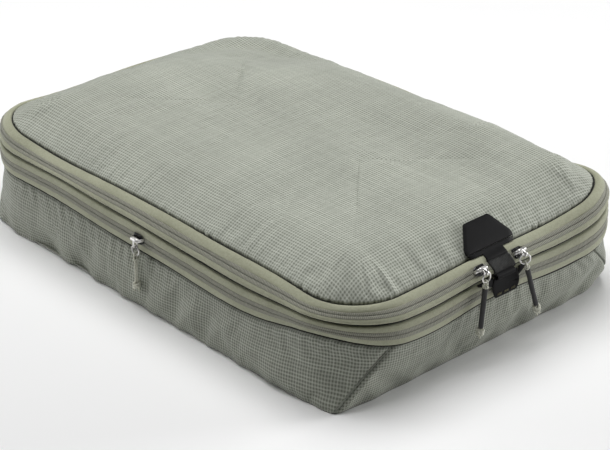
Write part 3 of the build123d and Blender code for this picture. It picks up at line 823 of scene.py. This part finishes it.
def coil_section(start, end, which):
    """Rounded back of one coil half between two tape edges, with the slit left open."""
    start, end = np.array(start, float), np.array(end, float)
    middle = (start + end) / 2
    along = (end - start) / np.linalg.norm(end - start)
    out = np.array((along[1], -along[0]))
    a, b = (start - along * 0.5, middle - along * 0.14) if which == "lower" else (
        middle + along * 0.14, end + along * 0.5)
    t = np.linspace(0, 1, 9)
    swell = COIL_SWELL * np.sin(pi * t) ** 0.5
    return a + np.outer(t, b - a) + np.outer(swell + 0.12, out)


def hinge_columns():
    """Columns along the rear edge that have no coil, and those of the rest."""
    rear = (OUTWARD[:, 1] > 0.99) & (np.abs(OUTLINE[:, 0]) <= 91.0)
    total = len(OUTLINE)
    first = int(np.argmin(rear))                   # the first column beyond the gap
    last = total - int(np.argmin(rear[::-1]))      # one past the last column before it
    coil = np.arange(first, last)
    hinge = np.concatenate([np.arange(last - 1, total), np.arange(0, first + 1)])
    return coil, hinge


def make_bands(materials):
    tapes = {
        "compression_lower_tape": (COMPRESSION_LOWER, "lower_shell", 100),
        "compression_upper_tape": (COMPRESSION_UPPER, "upper_section", 110),
        "main_lower_tape": (MAIN_LOWER, "upper_section", 110),
        "main_upper_tape": (MAIN_UPPER, "lid", 120),
    }
    for node, (section, body, seed) in tapes.items():
        piece = swept_strip(node + "_cloth", smooth_line(section, 4), TAPE, materials["tape"], tape_wave(seed))
        belongs(piece, body, "zip_tape", node)
    coil_columns, hinge = hinge_columns()
    low, high = MAIN_LOWER[-1], MAIN_UPPER[0]
    chains = (
        ("compression", COMPRESSION_LOWER[-1], COMPRESSION_UPPER[0], "lower_shell", "upper_section", None),
        ("main", low, high, "upper_section", "lid", coil_columns),
    )
    wave = tape_wave(110)
    for name, start, end, low_body, high_body, columns in chains:
        for half, body, across in (("lower", low_body, 0.0), ("upper", high_body, 2.6)):
            node = name + "_" + half + "_coil"
            line = coil_section(start, end, half)
            piece = swept_strip(node + "_back", line, 1.0, materials["coil"], wave, columns, across)
            belongs(piece, body, "zip_coil", node)
    # plain fabric hinge in place of the coil along the rear edge
    line = smooth_line([low, ((low[0] + high[0]) / 2 + 0.3, (low[1] + high[1]) / 2), high], 5)
    strip = swept_strip("rear_hinge_cloth", line, TAPE, materials["tape"], wave, hinge)
    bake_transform(strip)
    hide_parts("rear_hinge_lower_strip", "rear_hinge_upper_strip")


def make_bindings(materials):
    # Strips placed to peek out of the seam grooves, nearly black: painted shade of the grooves.
    strips = {
        "wall_seam_binding": ([(-4.4, 50.5), (-1.9, 51.3), (-3.2, 52.5)], "lower_shell"),
        "fold_binding": ([(-3.4, 70.9), (-1.5, 71.95), (-3.4, 73.0)], "upper_section"),
        "lid_seam_binding": ([(-12.0, 83.6), (-13.4, 84.5), (-14.9, 84.2)], "lid"),
    }
    for node, (section, body) in strips.items():
        piece = swept_strip(node + "_tape", smooth_line(section, 4), 0.7, materials["binding"])
        belongs(piece, body, "binding", node)
    line = smooth_line([(-3.6, 54.0), (-3.3, 59.0), (-3.3, 65.5), (-3.6, 70.5)], 8)
    gusset = swept_strip("expansion_gusset_cloth", line, 0.5, materials["wall"])
    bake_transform(gusset)
    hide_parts("expansion_gusset")


# ---- grab tabs ----------------------------------------------------------------------------
TAB_ORIGIN = np.array((0.0, -HALF_Y + 11.9, 86.0))    # sewn edge of the upper tab, on the lid's slope


def soft_plate(name, outline, thickness, material, crown, rings, bend):
    """Plate with rounded edges from a flat outline, in millimetres in its own plane, put in place by bend.

    The outline is shrunk ring by ring towards its middle, so that the face is all quads but one.
    """
    edge = np.array(outline, float)
    middle = edge.mean(axis=0)
    rim = 0.45 / np.abs(edge - middle).max()
    face, shoulder = 1.0 - rim, 1.0 - rim * 0.35
    side = [(face, 0.0), (shoulder, 0.12), (1.0, 0.32), (1.0, 0.68), (shoulder, 0.88), (face, 1.0)]
    layers = [(scale, thickness * share) for scale, share in side]
    for ring in range(1, rings + 1):
        scale = face * (1 - ring / (rings + 1))
        layers.append((scale, thickness + crown * (1 - scale ** 2)))
    rows = [np.column_stack([middle + (edge - middle) * scale, np.full(len(edge), z)]) for scale, z in layers]
    count, width = len(rows), len(edge)
    faces = grid_faces(count, width)
    faces.append([(count - 1) * width + k for k in range(width)])
    faces.append(list(range(width))[::-1])
    return face_outwards(new_piece(name, bend(np.vstack(rows)), faces, material))


def rounded_polygon(corners, radius, steps=5, spacing=1.5):
    """Closed outline with each corner rounded, and points added along the straights."""
    corners = [np.array(c, float) for c in corners]
    out = []
    for i, corner in enumerate(corners):
        before, after = corners[i - 1], corners[(i + 1) % len(corners)]
        reach = radius if np.isscalar(radius) else radius[i]
        a = corner + (before - corner) / np.linalg.norm(before - corner) * reach
        b = corner + (after - corner) / np.linalg.norm(after - corner) * reach
        for t in np.linspace(0, 1, steps):
            out.append((1 - t) ** 2 * a + 2 * t * (1 - t) * corner + t * t * b)
    filled = []
    for i, point in enumerate(out):
        following = out[(i + 1) % len(out)]
        gap = np.linalg.norm(following - point)
        pieces = max(1, int(gap // spacing))
        for k in range(pieces):
            filled.append(point + (following - point) * k / pieces)
    return np.array(filled)


def on_lid_slope(points):
    """From the upper tab's own plane to its place: x stays, y runs up the lid's slope, z out of it."""
    return np.asarray(points, float) @ np.array([(1, 0, 0), SLOPE_UP, SLOPE_OUT]) + TAB_ORIGIN


SLOPE_UP = np.array((0.0, 1.0, 1.0)) / np.sqrt(2)
SLOPE_OUT = np.array((0.0, -1.0, 1.0)) / np.sqrt(2)


def make_stitches(name, ends, material, body):
    """Short threads lying on a surface, as one piece: little bars that sink in at both ends."""
    t = np.linspace(0, 1, 7)
    radii = 0.375 * (0.55 + 0.45 * np.sin(pi * t))
    bm = bmesh.new()
    for start, end in ends:
        bar = tube_along(name + "_bar", start + np.outer(t, end - start), radii, 8, material)
        bm.from_mesh(bar.data)
        bpy.data.objects.remove(bar)
    mesh = bpy.data.meshes.new(name)
    bm.to_mesh(mesh)
    bm.free()
    mesh.materials.append(material)
    mesh.shade_smooth()
    belongs(in_scene(name, mesh), body, "tab_black")


def two_faced_strip(name, top, under, lanes, material, uvs=None):
    """Strip with a face on each side and closed edges; top and under are its points, row by row."""
    count = len(top)
    last_row = count - lanes
    upper = grid_faces(count // lanes, lanes, False)
    border = [*range(lanes), *range(2 * lanes - 1, count, lanes), *range(count - 2, last_row - 1, -1),
              *range(last_row - lanes, 0, -lanes)]
    faces = upper + [tuple(v + count for v in face[::-1]) for face in upper]
    faces += [(a, b, b + count, a + count) for a, b in zip(border, border[1:] + border[:1])]
    return face_outwards(new_piece(name, top + under, faces, material, uvs))


def make_upper_tab(materials):
    def on_slope(vertices):
        v = np.array(vertices)
        v[:, 2] += 0.10 - 0.35 * np.clip((v[:, 1] - 17.0) / 10.0, 0, 1) ** 2
        return on_lid_slope(v)

    flap = rounded_polygon([(-24.9, 3.1), (24.9, 3.1), (25.6, 6.8), (13.3, 26.5), (-13.3, 26.5), (-25.6, 6.8)],
                           [0.8, 0.8, 2.2, 2.0, 2.0, 2.2])
    piece = soft_plate("upper_tab_flap", flap, 1.3, materials["tab"], 0.3, 6, on_slope)
    belongs(piece, "upper_tab", "tab_black", "upper_tab")
    base = rounded_polygon([(-22.0, -0.6), (21.6, -0.6), (25.0, 2.8), (-25.0, 2.8)], [2.0, 2.0, 0.5, 0.5])
    piece = soft_plate("upper_tab_sewn_edge", base, 1.25, materials["tab"], 0.1, 3, on_slope)
    belongs(piece, "lid", "tab_black", "upper_tab_base")
    starts = [-19.5 + 3.15 * i for i in range(13)]
    ends = [on_lid_slope([(x, 2.95, 1.15), (x + 2.3, 2.95, 1.15)]) for x in starts]
    make_stitches("upper_tab_stitches", ends, materials["thread"], "lid")
    make_tongue(materials)


def make_tongue(materials):
    """Strip that runs down from the tab over the upper tape, wider where it leaves the tab."""
    line = smooth_line([(-13.2, 86.6), (-11.4, 86.5), (-8.6, 85.6), (-6.6, 84.3), (-5.3, 82.9)], 4)
    share = np.linspace(0, 1, len(line))
    half = 10.2 + 9.0 * np.exp(-(share / 0.12) ** 1.3) + 0.9 * share ** 2
    lanes = np.linspace(-1, 1, 17)
    top, under = [], []
    for (outset, height), width in zip(line, half):
        y = -(HALF_Y + outset)
        for lane in lanes:
            x = -0.5 + width * lane
            dip = 0.35 * (1 - lane ** 2)
            top.append((x, y - 0.45 - dip * 0.6, height + 0.45 + dip * 0.4))
            under.append((x, y + 0.35, height - 0.35))
    piece = two_faced_strip("upper_tab_tongue_strip", top, under, len(lanes), materials["tab"])
    bevel = piece.modifiers.new("soft edges", "BEVEL")
    bevel.width, bevel.segments, bevel.limit_method = 0.3 * MM, 2, "ANGLE"
    apply_modifiers(piece)
    belongs(piece, "lid", "tab_black", "upper_tab_tongue")


def make_roll(materials, axis_y, axis_z):
    """Hollow roll of sheet that carries the lower tab, with softly rounded rims."""
    sides, outer, inner = 28, 2.55, 1.5
    xs = np.concatenate([[-9.6, -9.45], np.linspace(-9.0, 9.0, 13), [9.45, 9.6]])
    grow = np.array([0.9, 0.98] + [1.0] * 13 + [0.98, 0.9])
    angles = np.arange(sides) * 2 * pi / sides
    rings = []
    for x, radius in [*zip(xs, outer * grow), *zip(xs[::-1], inner / grow)]:
        rings.append(np.column_stack([np.full(sides, x), axis_y + radius * np.cos(angles),
                                      axis_z + radius * np.sin(angles)]))
    faces = grid_faces(len(rings), sides, True, True)
    roll = face_outwards(new_piece("lower_tab_roll", np.vstack(rings), faces, materials["tab"]))
    belongs(roll, "upper_section", "tab_black", "lower_tab_fold")


def make_webbing(materials):
    """Webbing that comes out of the fold and runs up between the two sliders."""
    line = smooth_line([(-2.6, 72.3), (0.9, 72.6), (1.6, 74.6), (1.2, 76.6), (0.0, 78.6), (-2.2, 80.4),
                        (-4.2, 81.9), (-6.0, 83.0)], 4)
    lanes = np.linspace(-9.6, 12.6, 17)
    top, under = [], []
    for outset, height in line:
        y = -(HALF_Y + outset)
        for x in lanes - 0.2 * max(0.0, height - 73.0):
            top.append((x, y - 0.3, height + 0.15))
            under.append((x, y + 0.4, height - 0.15))
    uvs = np.array([(p[0], p[2]) for p in top + under])
    web = two_faced_strip("fold_webbing", top, under, len(lanes), materials["webbing"], uvs)
    belongs(web, "upper_section", "tab_black")


def make_lower_tab(materials):
    fold_y, fold_z = -HALF_Y - 2.6, 71.6
    make_roll(materials, fold_y, fold_z)
    make_webbing(materials)

    def hang(vertices):
        """The hanging flap leans out a little at its free end."""
        v = np.array(vertices)
        lean = 0.0048 * np.clip(v[:, 1] - 4.0, 0, None) ** 2
        return np.column_stack([2.4 - v[:, 0], fold_y + 1.4 - v[:, 2] - lean, fold_z - v[:, 1]])

    def stand(vertices):
        v = np.array(vertices)
        return np.column_stack([v[:, 0], -HALF_Y - 0.9 - v[:, 2], v[:, 1]])

    flap = rounded_polygon([(-12.0, 0.6), (12.6, 0.6), (15.2, 8.0), (12.6, 18.2), (-11.4, 18.2), (-14.4, 13.0),
                            (-14.4, 8.0)], [1.5, 1.5, 3.0, 2.0, 2.0, 2.0, 3.0])
    piece = soft_plate("lower_tab_flap", flap, 1.1, materials["tab"], 0.12, 5, hang)
    belongs(piece, "lower_tab", "tab_black", "lower_tab")
    starts = [middle - 1.9 + 0.95 * k for middle in (-7.2, 0.2, 7.6) for k in range(5)]
    ends = [hang([(x, 14.6, 1.3), (x + 0.55, 16.4, 1.3)]) for x in starts]
    make_stitches("lower_tab_bar_tacks", ends, materials["tack"], "lower_tab")
    for side, near, far in (("left", -11.5, -28.5), ("right", 16.5, 26.5)):
        corners = [(near, 63.6), (near, 71.4), (far, 71.4), (far * 0.97, 69.4)]
        outline = rounded_polygon(corners, [0.8, 0.4, 0.6, 0.8], spacing=1.0)
        name = "lower_tab_shoulder_" + side
        piece = soft_plate(name + "_sheet", outline, 0.8, materials["tab"], 0.1, 3, stand)
        belongs(piece, "upper_section", "tab_black", name)


# ---- pulls --------------------------------------------------------------------------------
RING_RADIUS, RING_WIRE = 4.1 * MM, 0.5 * MM
CORD_DIAMETER = 1.5 * MM
# The doubled cord's control points in metres, from the ring's lower wire: x along the wire,
# y towards the bag, z up. It runs up through the end knot, over the wire and down again.
MAIN_LEFT_ROUTE = [
    (0.0015, 0.00162, -0.0472), (0.00035, 0.00092, -0.0410), (0.00006, 0.00088, -0.0348),
    (0.00015, 0.00096, -0.02214), (0.00009, 0.00092, -0.0123), (0.00012, 0.00102, -0.0054),
    (0.0, 0.00175, -0.0020), (0.0, 0.0017, 0.0017), (0.0, -0.0017, 0.0017), (0.0, -0.00175, -0.0020),
    (0.00012, -0.00102, -0.0054), (0.00009, -0.00092, -0.0123), (0.00015, -0.00096, -0.02214),
    (0.00006, -0.00088, -0.0348), (-0.00035, -0.00092, -0.0410), (-0.0014, -0.00142, -0.0462)]
MAIN_RIGHT_ROUTE = [
    (0.0015, 0.00162, -0.0472), (0.00035, 0.00092, -0.0410), (0.0, 0.00088, -0.0348),
    (0.0, 0.00096, -0.02214), (0.0, 0.00092, -0.0123), (0.00012, 0.00102, -0.0054),
    (0.0, 0.00175, -0.0020), (0.0, 0.0017, 0.0017), (0.0, -0.0017, 0.0017), (0.0, -0.00175, -0.0020),
    (0.00012, -0.00102, -0.0054), (0.0, -0.00092, -0.0123), (0.0, -0.00096, -0.02214),
    (0.0, -0.00088, -0.0348), (-0.00035, -0.00092, -0.0410), (-0.0014, -0.00142, -0.0462)]
COMPRESSION_ROUTE = [
    (0.0015, 0.00162, -0.0332), (0.00035, 0.00092, -0.0270), (0.00006, 0.00088, -0.0208),
    (0.00015, 0.00096, -0.01458), (0.00009, 0.00092, -0.0081), (0.00012, 0.00102, -0.0054),
    (0.0, 0.00175, -0.0020), (0.0, 0.0017, 0.0017), (0.0, -0.0017, 0.0017), (0.0, -0.00175, -0.0020),
    (0.00012, -0.00102, -0.0054), (0.00009, -0.00092, -0.0081), (0.00015, -0.00096, -0.01458),
    (0.00006, -0.00088, -0.0208), (-0.00035, -0.00092, -0.0270), (-0.0014, -0.00142, -0.0322)]

# name: (route, heading, ring's turn, cord's lean, end knot's depth, cord length)
PULLS = {
    "main_left": (MAIN_LEFT_ROUTE, 0.0, 0.0, -6.0, 41.0, 0.0993),
    "main_right": (MAIN_RIGHT_ROUTE, 0.0, -35.0, 14.0, 41.0, 0.0993),
    "compression": (COMPRESSION_ROUTE, -90.0, 0.0, 0.0, 27.0, 0.0713),
}


def pull_frame(name, heading, yaw, lean):
    """Where the cord's own frame lies: at the lower wire of the ring."""
    low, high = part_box(name + "_ring")
    eye = Vector(((low.x + high.x) / 2, (low.y + high.y) / 2, high.z - RING_WIRE))
    return (Matrix.Translation(eye) @ Matrix.Rotation(radians(heading + yaw), 4, "Z")
            @ Matrix.Translation((0, 0, -RING_RADIUS)) @ Matrix.Rotation(radians(-lean), 4, "Y")
            @ Matrix.Translation((0, 0, -RING_RADIUS)))


def make_curve(name, points, radius, material):
    data = bpy.data.curves.new(name, "CURVE")
    data.dimensions = "3D"
    data.resolution_u = 12
    data.bevel_depth = radius
    data.bevel_resolution = 4
    data.use_fill_caps = True
    spline = data.splines.new("NURBS")
    spline.points.add(len(points) - 1)
    for target, point in zip(spline.points, points):
        target.co = (*point, 1.0)
    spline.order_u = 3
    spline.use_endpoint_u = True
    data.materials.append(material)
    return in_scene(name, data)


def make_wrap(name, at, start, turns, radius_x, radius_y, rise, cord_radius, material, slant=0.3):
    """A few close turns of cord round the two strands, as the outside of a knot."""
    steps = int(turns * 10)
    points = []
    for i in range(steps + 1):
        angle = 2 * pi * i / 10
        z = start + rise * i / steps + slant * sin(angle + 0.6) * 0.001
        points.append(at @ Vector((radius_x * cos(angle), radius_y * sin(angle), z)))
    return make_curve(name, points, cord_radius, material)


def make_pull(name, materials):
    route, heading, yaw, lean, drop, length = PULLS[name]
    body, cord = name + "_pull", materials["cord"]
    at = pull_frame(name, heading, yaw, lean)
    points = [at @ Vector(p) for p in route]
    strand = make_curve(name + "_cord_loop", points, CORD_DIAMETER / 2, cord)
    hitch = make_wrap(name + "_hitch_wrap", at, -0.0046, 1.6, 0.00165, 0.00215, 0.0022, 0.00068, cord)
    knot_height = (-drop - 2.3) * MM
    knot = make_wrap(name + "_end_knot", at, knot_height, 2.7, 0.0022, 0.0025, 0.0046, 0.00105, cord, 0.9)
    belongs(hitch, body, "pull_cord", name + "_hitch")
    belongs(knot, body, "pull_cord", name + "_knot")
    if name != "compression":
        sleeve = make_sleeve(name, at, materials)
        belongs(sleeve, body, "pull_sleeve", name + "_sleeve")
    belongs(strand, body, "pull_cord", name + "_cord")


def make_sleeve(name, at, materials):
    """Soft tube over both strands, a little thinner towards its lower end."""
    heights = np.concatenate([[-5.0, -5.05, -5.25], np.linspace(-6.0, -37.2, 16), [-37.75, -37.95, -38.0]])
    share = np.linspace(0, 1, len(heights))
    radii = 2.3 - 0.25 * share + 0.06 * np.sin(share * 17.0)
    radii[0], radii[1], radii[-1], radii[-2] = 1.7, 2.1, 1.6, 1.95
    path = [tuple(at @ Vector((0, 0, z * MM)) / MM) for z in heights]
    across = tuple(at.to_3x3() @ Vector((0, 1, 0)))
    return face_outwards(tube_along(name + "_sleeve_tube", path, radii, 24, materials["sleeve"], 0.9, across))


def closed_ring(name, at, radius, wire, material):
    """Round wire ring in the XZ plane of at, which is in metres; radius and wire in millimetres."""
    around, sides = 56, 16
    vertices = []
    for i in range(around):
        turn = 2 * pi * i / around
        for k in range(sides):
            roll = 2 * pi * k / sides
            reach = radius + wire * cos(roll)
            place = Vector((reach * cos(turn) * MM, wire * sin(roll) * MM, reach * sin(turn) * MM))
            vertices.append(at @ place / MM)
    return face_outwards(new_piece(name, vertices, grid_faces(around, sides, True, True), material))


def make_hardware(name, materials):
    """Bent bridge, folded link and wire ring of one pull; the black slider plate keeps its exact shape."""
    shine = materials["metal"]
    low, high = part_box(name + "_slider_bridge")
    middle = (np.array(low) + np.array(high)) / 2 / MM
    if name == "compression":
        zipwise, out = np.array((0, -1.0, 0)), np.array((-1.0, 0, 0))
        bar = middle + out * 1.2 + (0, 0, 0.8)
    else:
        zipwise, out = np.array((1.0, 0, 0)), np.array((0, -0.715, 0.699))
        bar = middle + out * 1.3
    arch = [(-5.5, -4.6), (-5.4, -2.4), (-4.4, -0.4), (-2.4, 0.7), (0.0, 1.0), (2.4, 0.7), (4.4, -0.4),
            (5.4, -2.4), (5.5, -4.6)]
    line = smooth_line([bar + zipwise * a + out * b for a, b in arch], 5)
    across = np.cross(zipwise, out)
    bridge = tube_along(name + "_bridge_arch", line, np.full(len(line), 1.35), 14, shine, 0.6, across)
    belongs(face_outwards(bridge), name + "_slider", "bright_metal", name + "_slider_bridge")
    low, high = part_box(name + "_ring")
    eye = np.array(((low.x + high.x) / 2, (low.y + high.y) / 2, high.z - RING_WIRE)) / MM
    along = np.linspace(-4.3, 4.3, 19)
    radii = 2.15 * np.clip(1 - (np.abs(along) / 4.35) ** 8, 0.05, 1.0) ** 0.5
    spine = [bar + zipwise * a + out * 0.2 for a in along]
    barrel = tube_along(name + "_link_barrel", spine, radii, 20, shine, 0.85, out)
    reach = eye - bar
    length = np.linalg.norm(reach)
    reach /= length
    across = np.cross(zipwise, reach)
    hook = [(0.4, 1.5), (length * 0.5, 1.75), (length - 0.4, 1.75), (length + 0.9, 1.3), (length + 1.4, 0.0),
            (length + 0.9, -1.3), (length - 0.4, -1.75), (length * 0.5, -1.75), (0.4, -1.5)]
    line = smooth_line([bar + reach * a + across * b for a, b in hook], 5)
    lug = tube_along(name + "_link_lug", line, np.full(len(line), 1.1), 12, shine, 0.55, zipwise)
    for piece in (barrel, lug):
        belongs(face_outwards(piece), name + "_link", "bright_metal", name + "_link")
    heading, yaw = PULLS[name][1], PULLS[name][2]
    at = (Matrix.Translation(Vector(eye * MM)) @ Matrix.Rotation(radians(heading + yaw), 4, "Z")
          @ Matrix.Translation((0, 0, -RING_RADIUS)))
    wire = closed_ring(name + "_wire_ring", at, RING_RADIUS / MM, 0.68, shine)
    belongs(wire, name + "_ring", "bright_metal", name + "_ring")
    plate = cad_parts[name + "_slider_body"]
    plate.data.materials.clear()
    plate.data.materials.append(materials["slider"])


# ---- stage --------------------------------------------------------------------------------
def make_floor(materials):
    """Wide flat pale sheet."""
    steps, size = 48, 6000.0
    places = np.linspace(-size, size, steps + 1)
    vertices = [(x, y, 0.0) for y in places for x in places]
    faces = grid_faces(steps + 1, steps + 1, False)
    new_piece("studio_floor", vertices, faces, materials["floor"])


def area_light(name, place, target, size, power):
    data = bpy.data.lights.new(name, "AREA")
    data.shape = "RECTANGLE"
    data.size, data.size_y = size
    data.energy = power
    lamp = in_scene(name, data)
    lamp.location = place
    lamp.rotation_mode = "QUATERNION"
    lamp.rotation_quaternion = (Vector(target) - Vector(place)).to_track_quat("-Z", "Y")


def make_lights():
    area_light("overhead_soft_box", (0.08, 0.22, 1.6), (0, 0, 0.05), (1.4, 1.4), 27.5)
    area_light("left_rear_panel", (-0.95, 1.3, 0.42), (0, 0, 0.03), (0.7, 0.5), 7.6)
    area_light("right_front_panel", (2.1, -1.1, 0.6), (0, 0, 0.03), (0.9, 0.8), 37.0)
    world = bpy.data.worlds.new("studio")
    world.use_nodes = True
    background = world.node_tree.nodes["Background"]
    background.inputs["Color"].default_value = (1.0, 1.0, 1.0, 1.0)
    background.inputs["Strength"].default_value = 0.06
    bpy.context.scene.world = world


bpy.context.scene.view_settings.view_transform = "Standard"
make_camera()
MATERIALS = make_materials()
for pull_name in PULLS:
    make_pull(pull_name, MATERIALS)
    make_hardware(pull_name, MATERIALS)
make_lid(MATERIALS)
make_walls(MATERIALS)
make_base(MATERIALS)
make_bands(MATERIALS)
make_bindings(MATERIALS)
make_upper_tab(MATERIALS)
make_lower_tab(MATERIALS)
make_floor(MATERIALS)
make_lights()
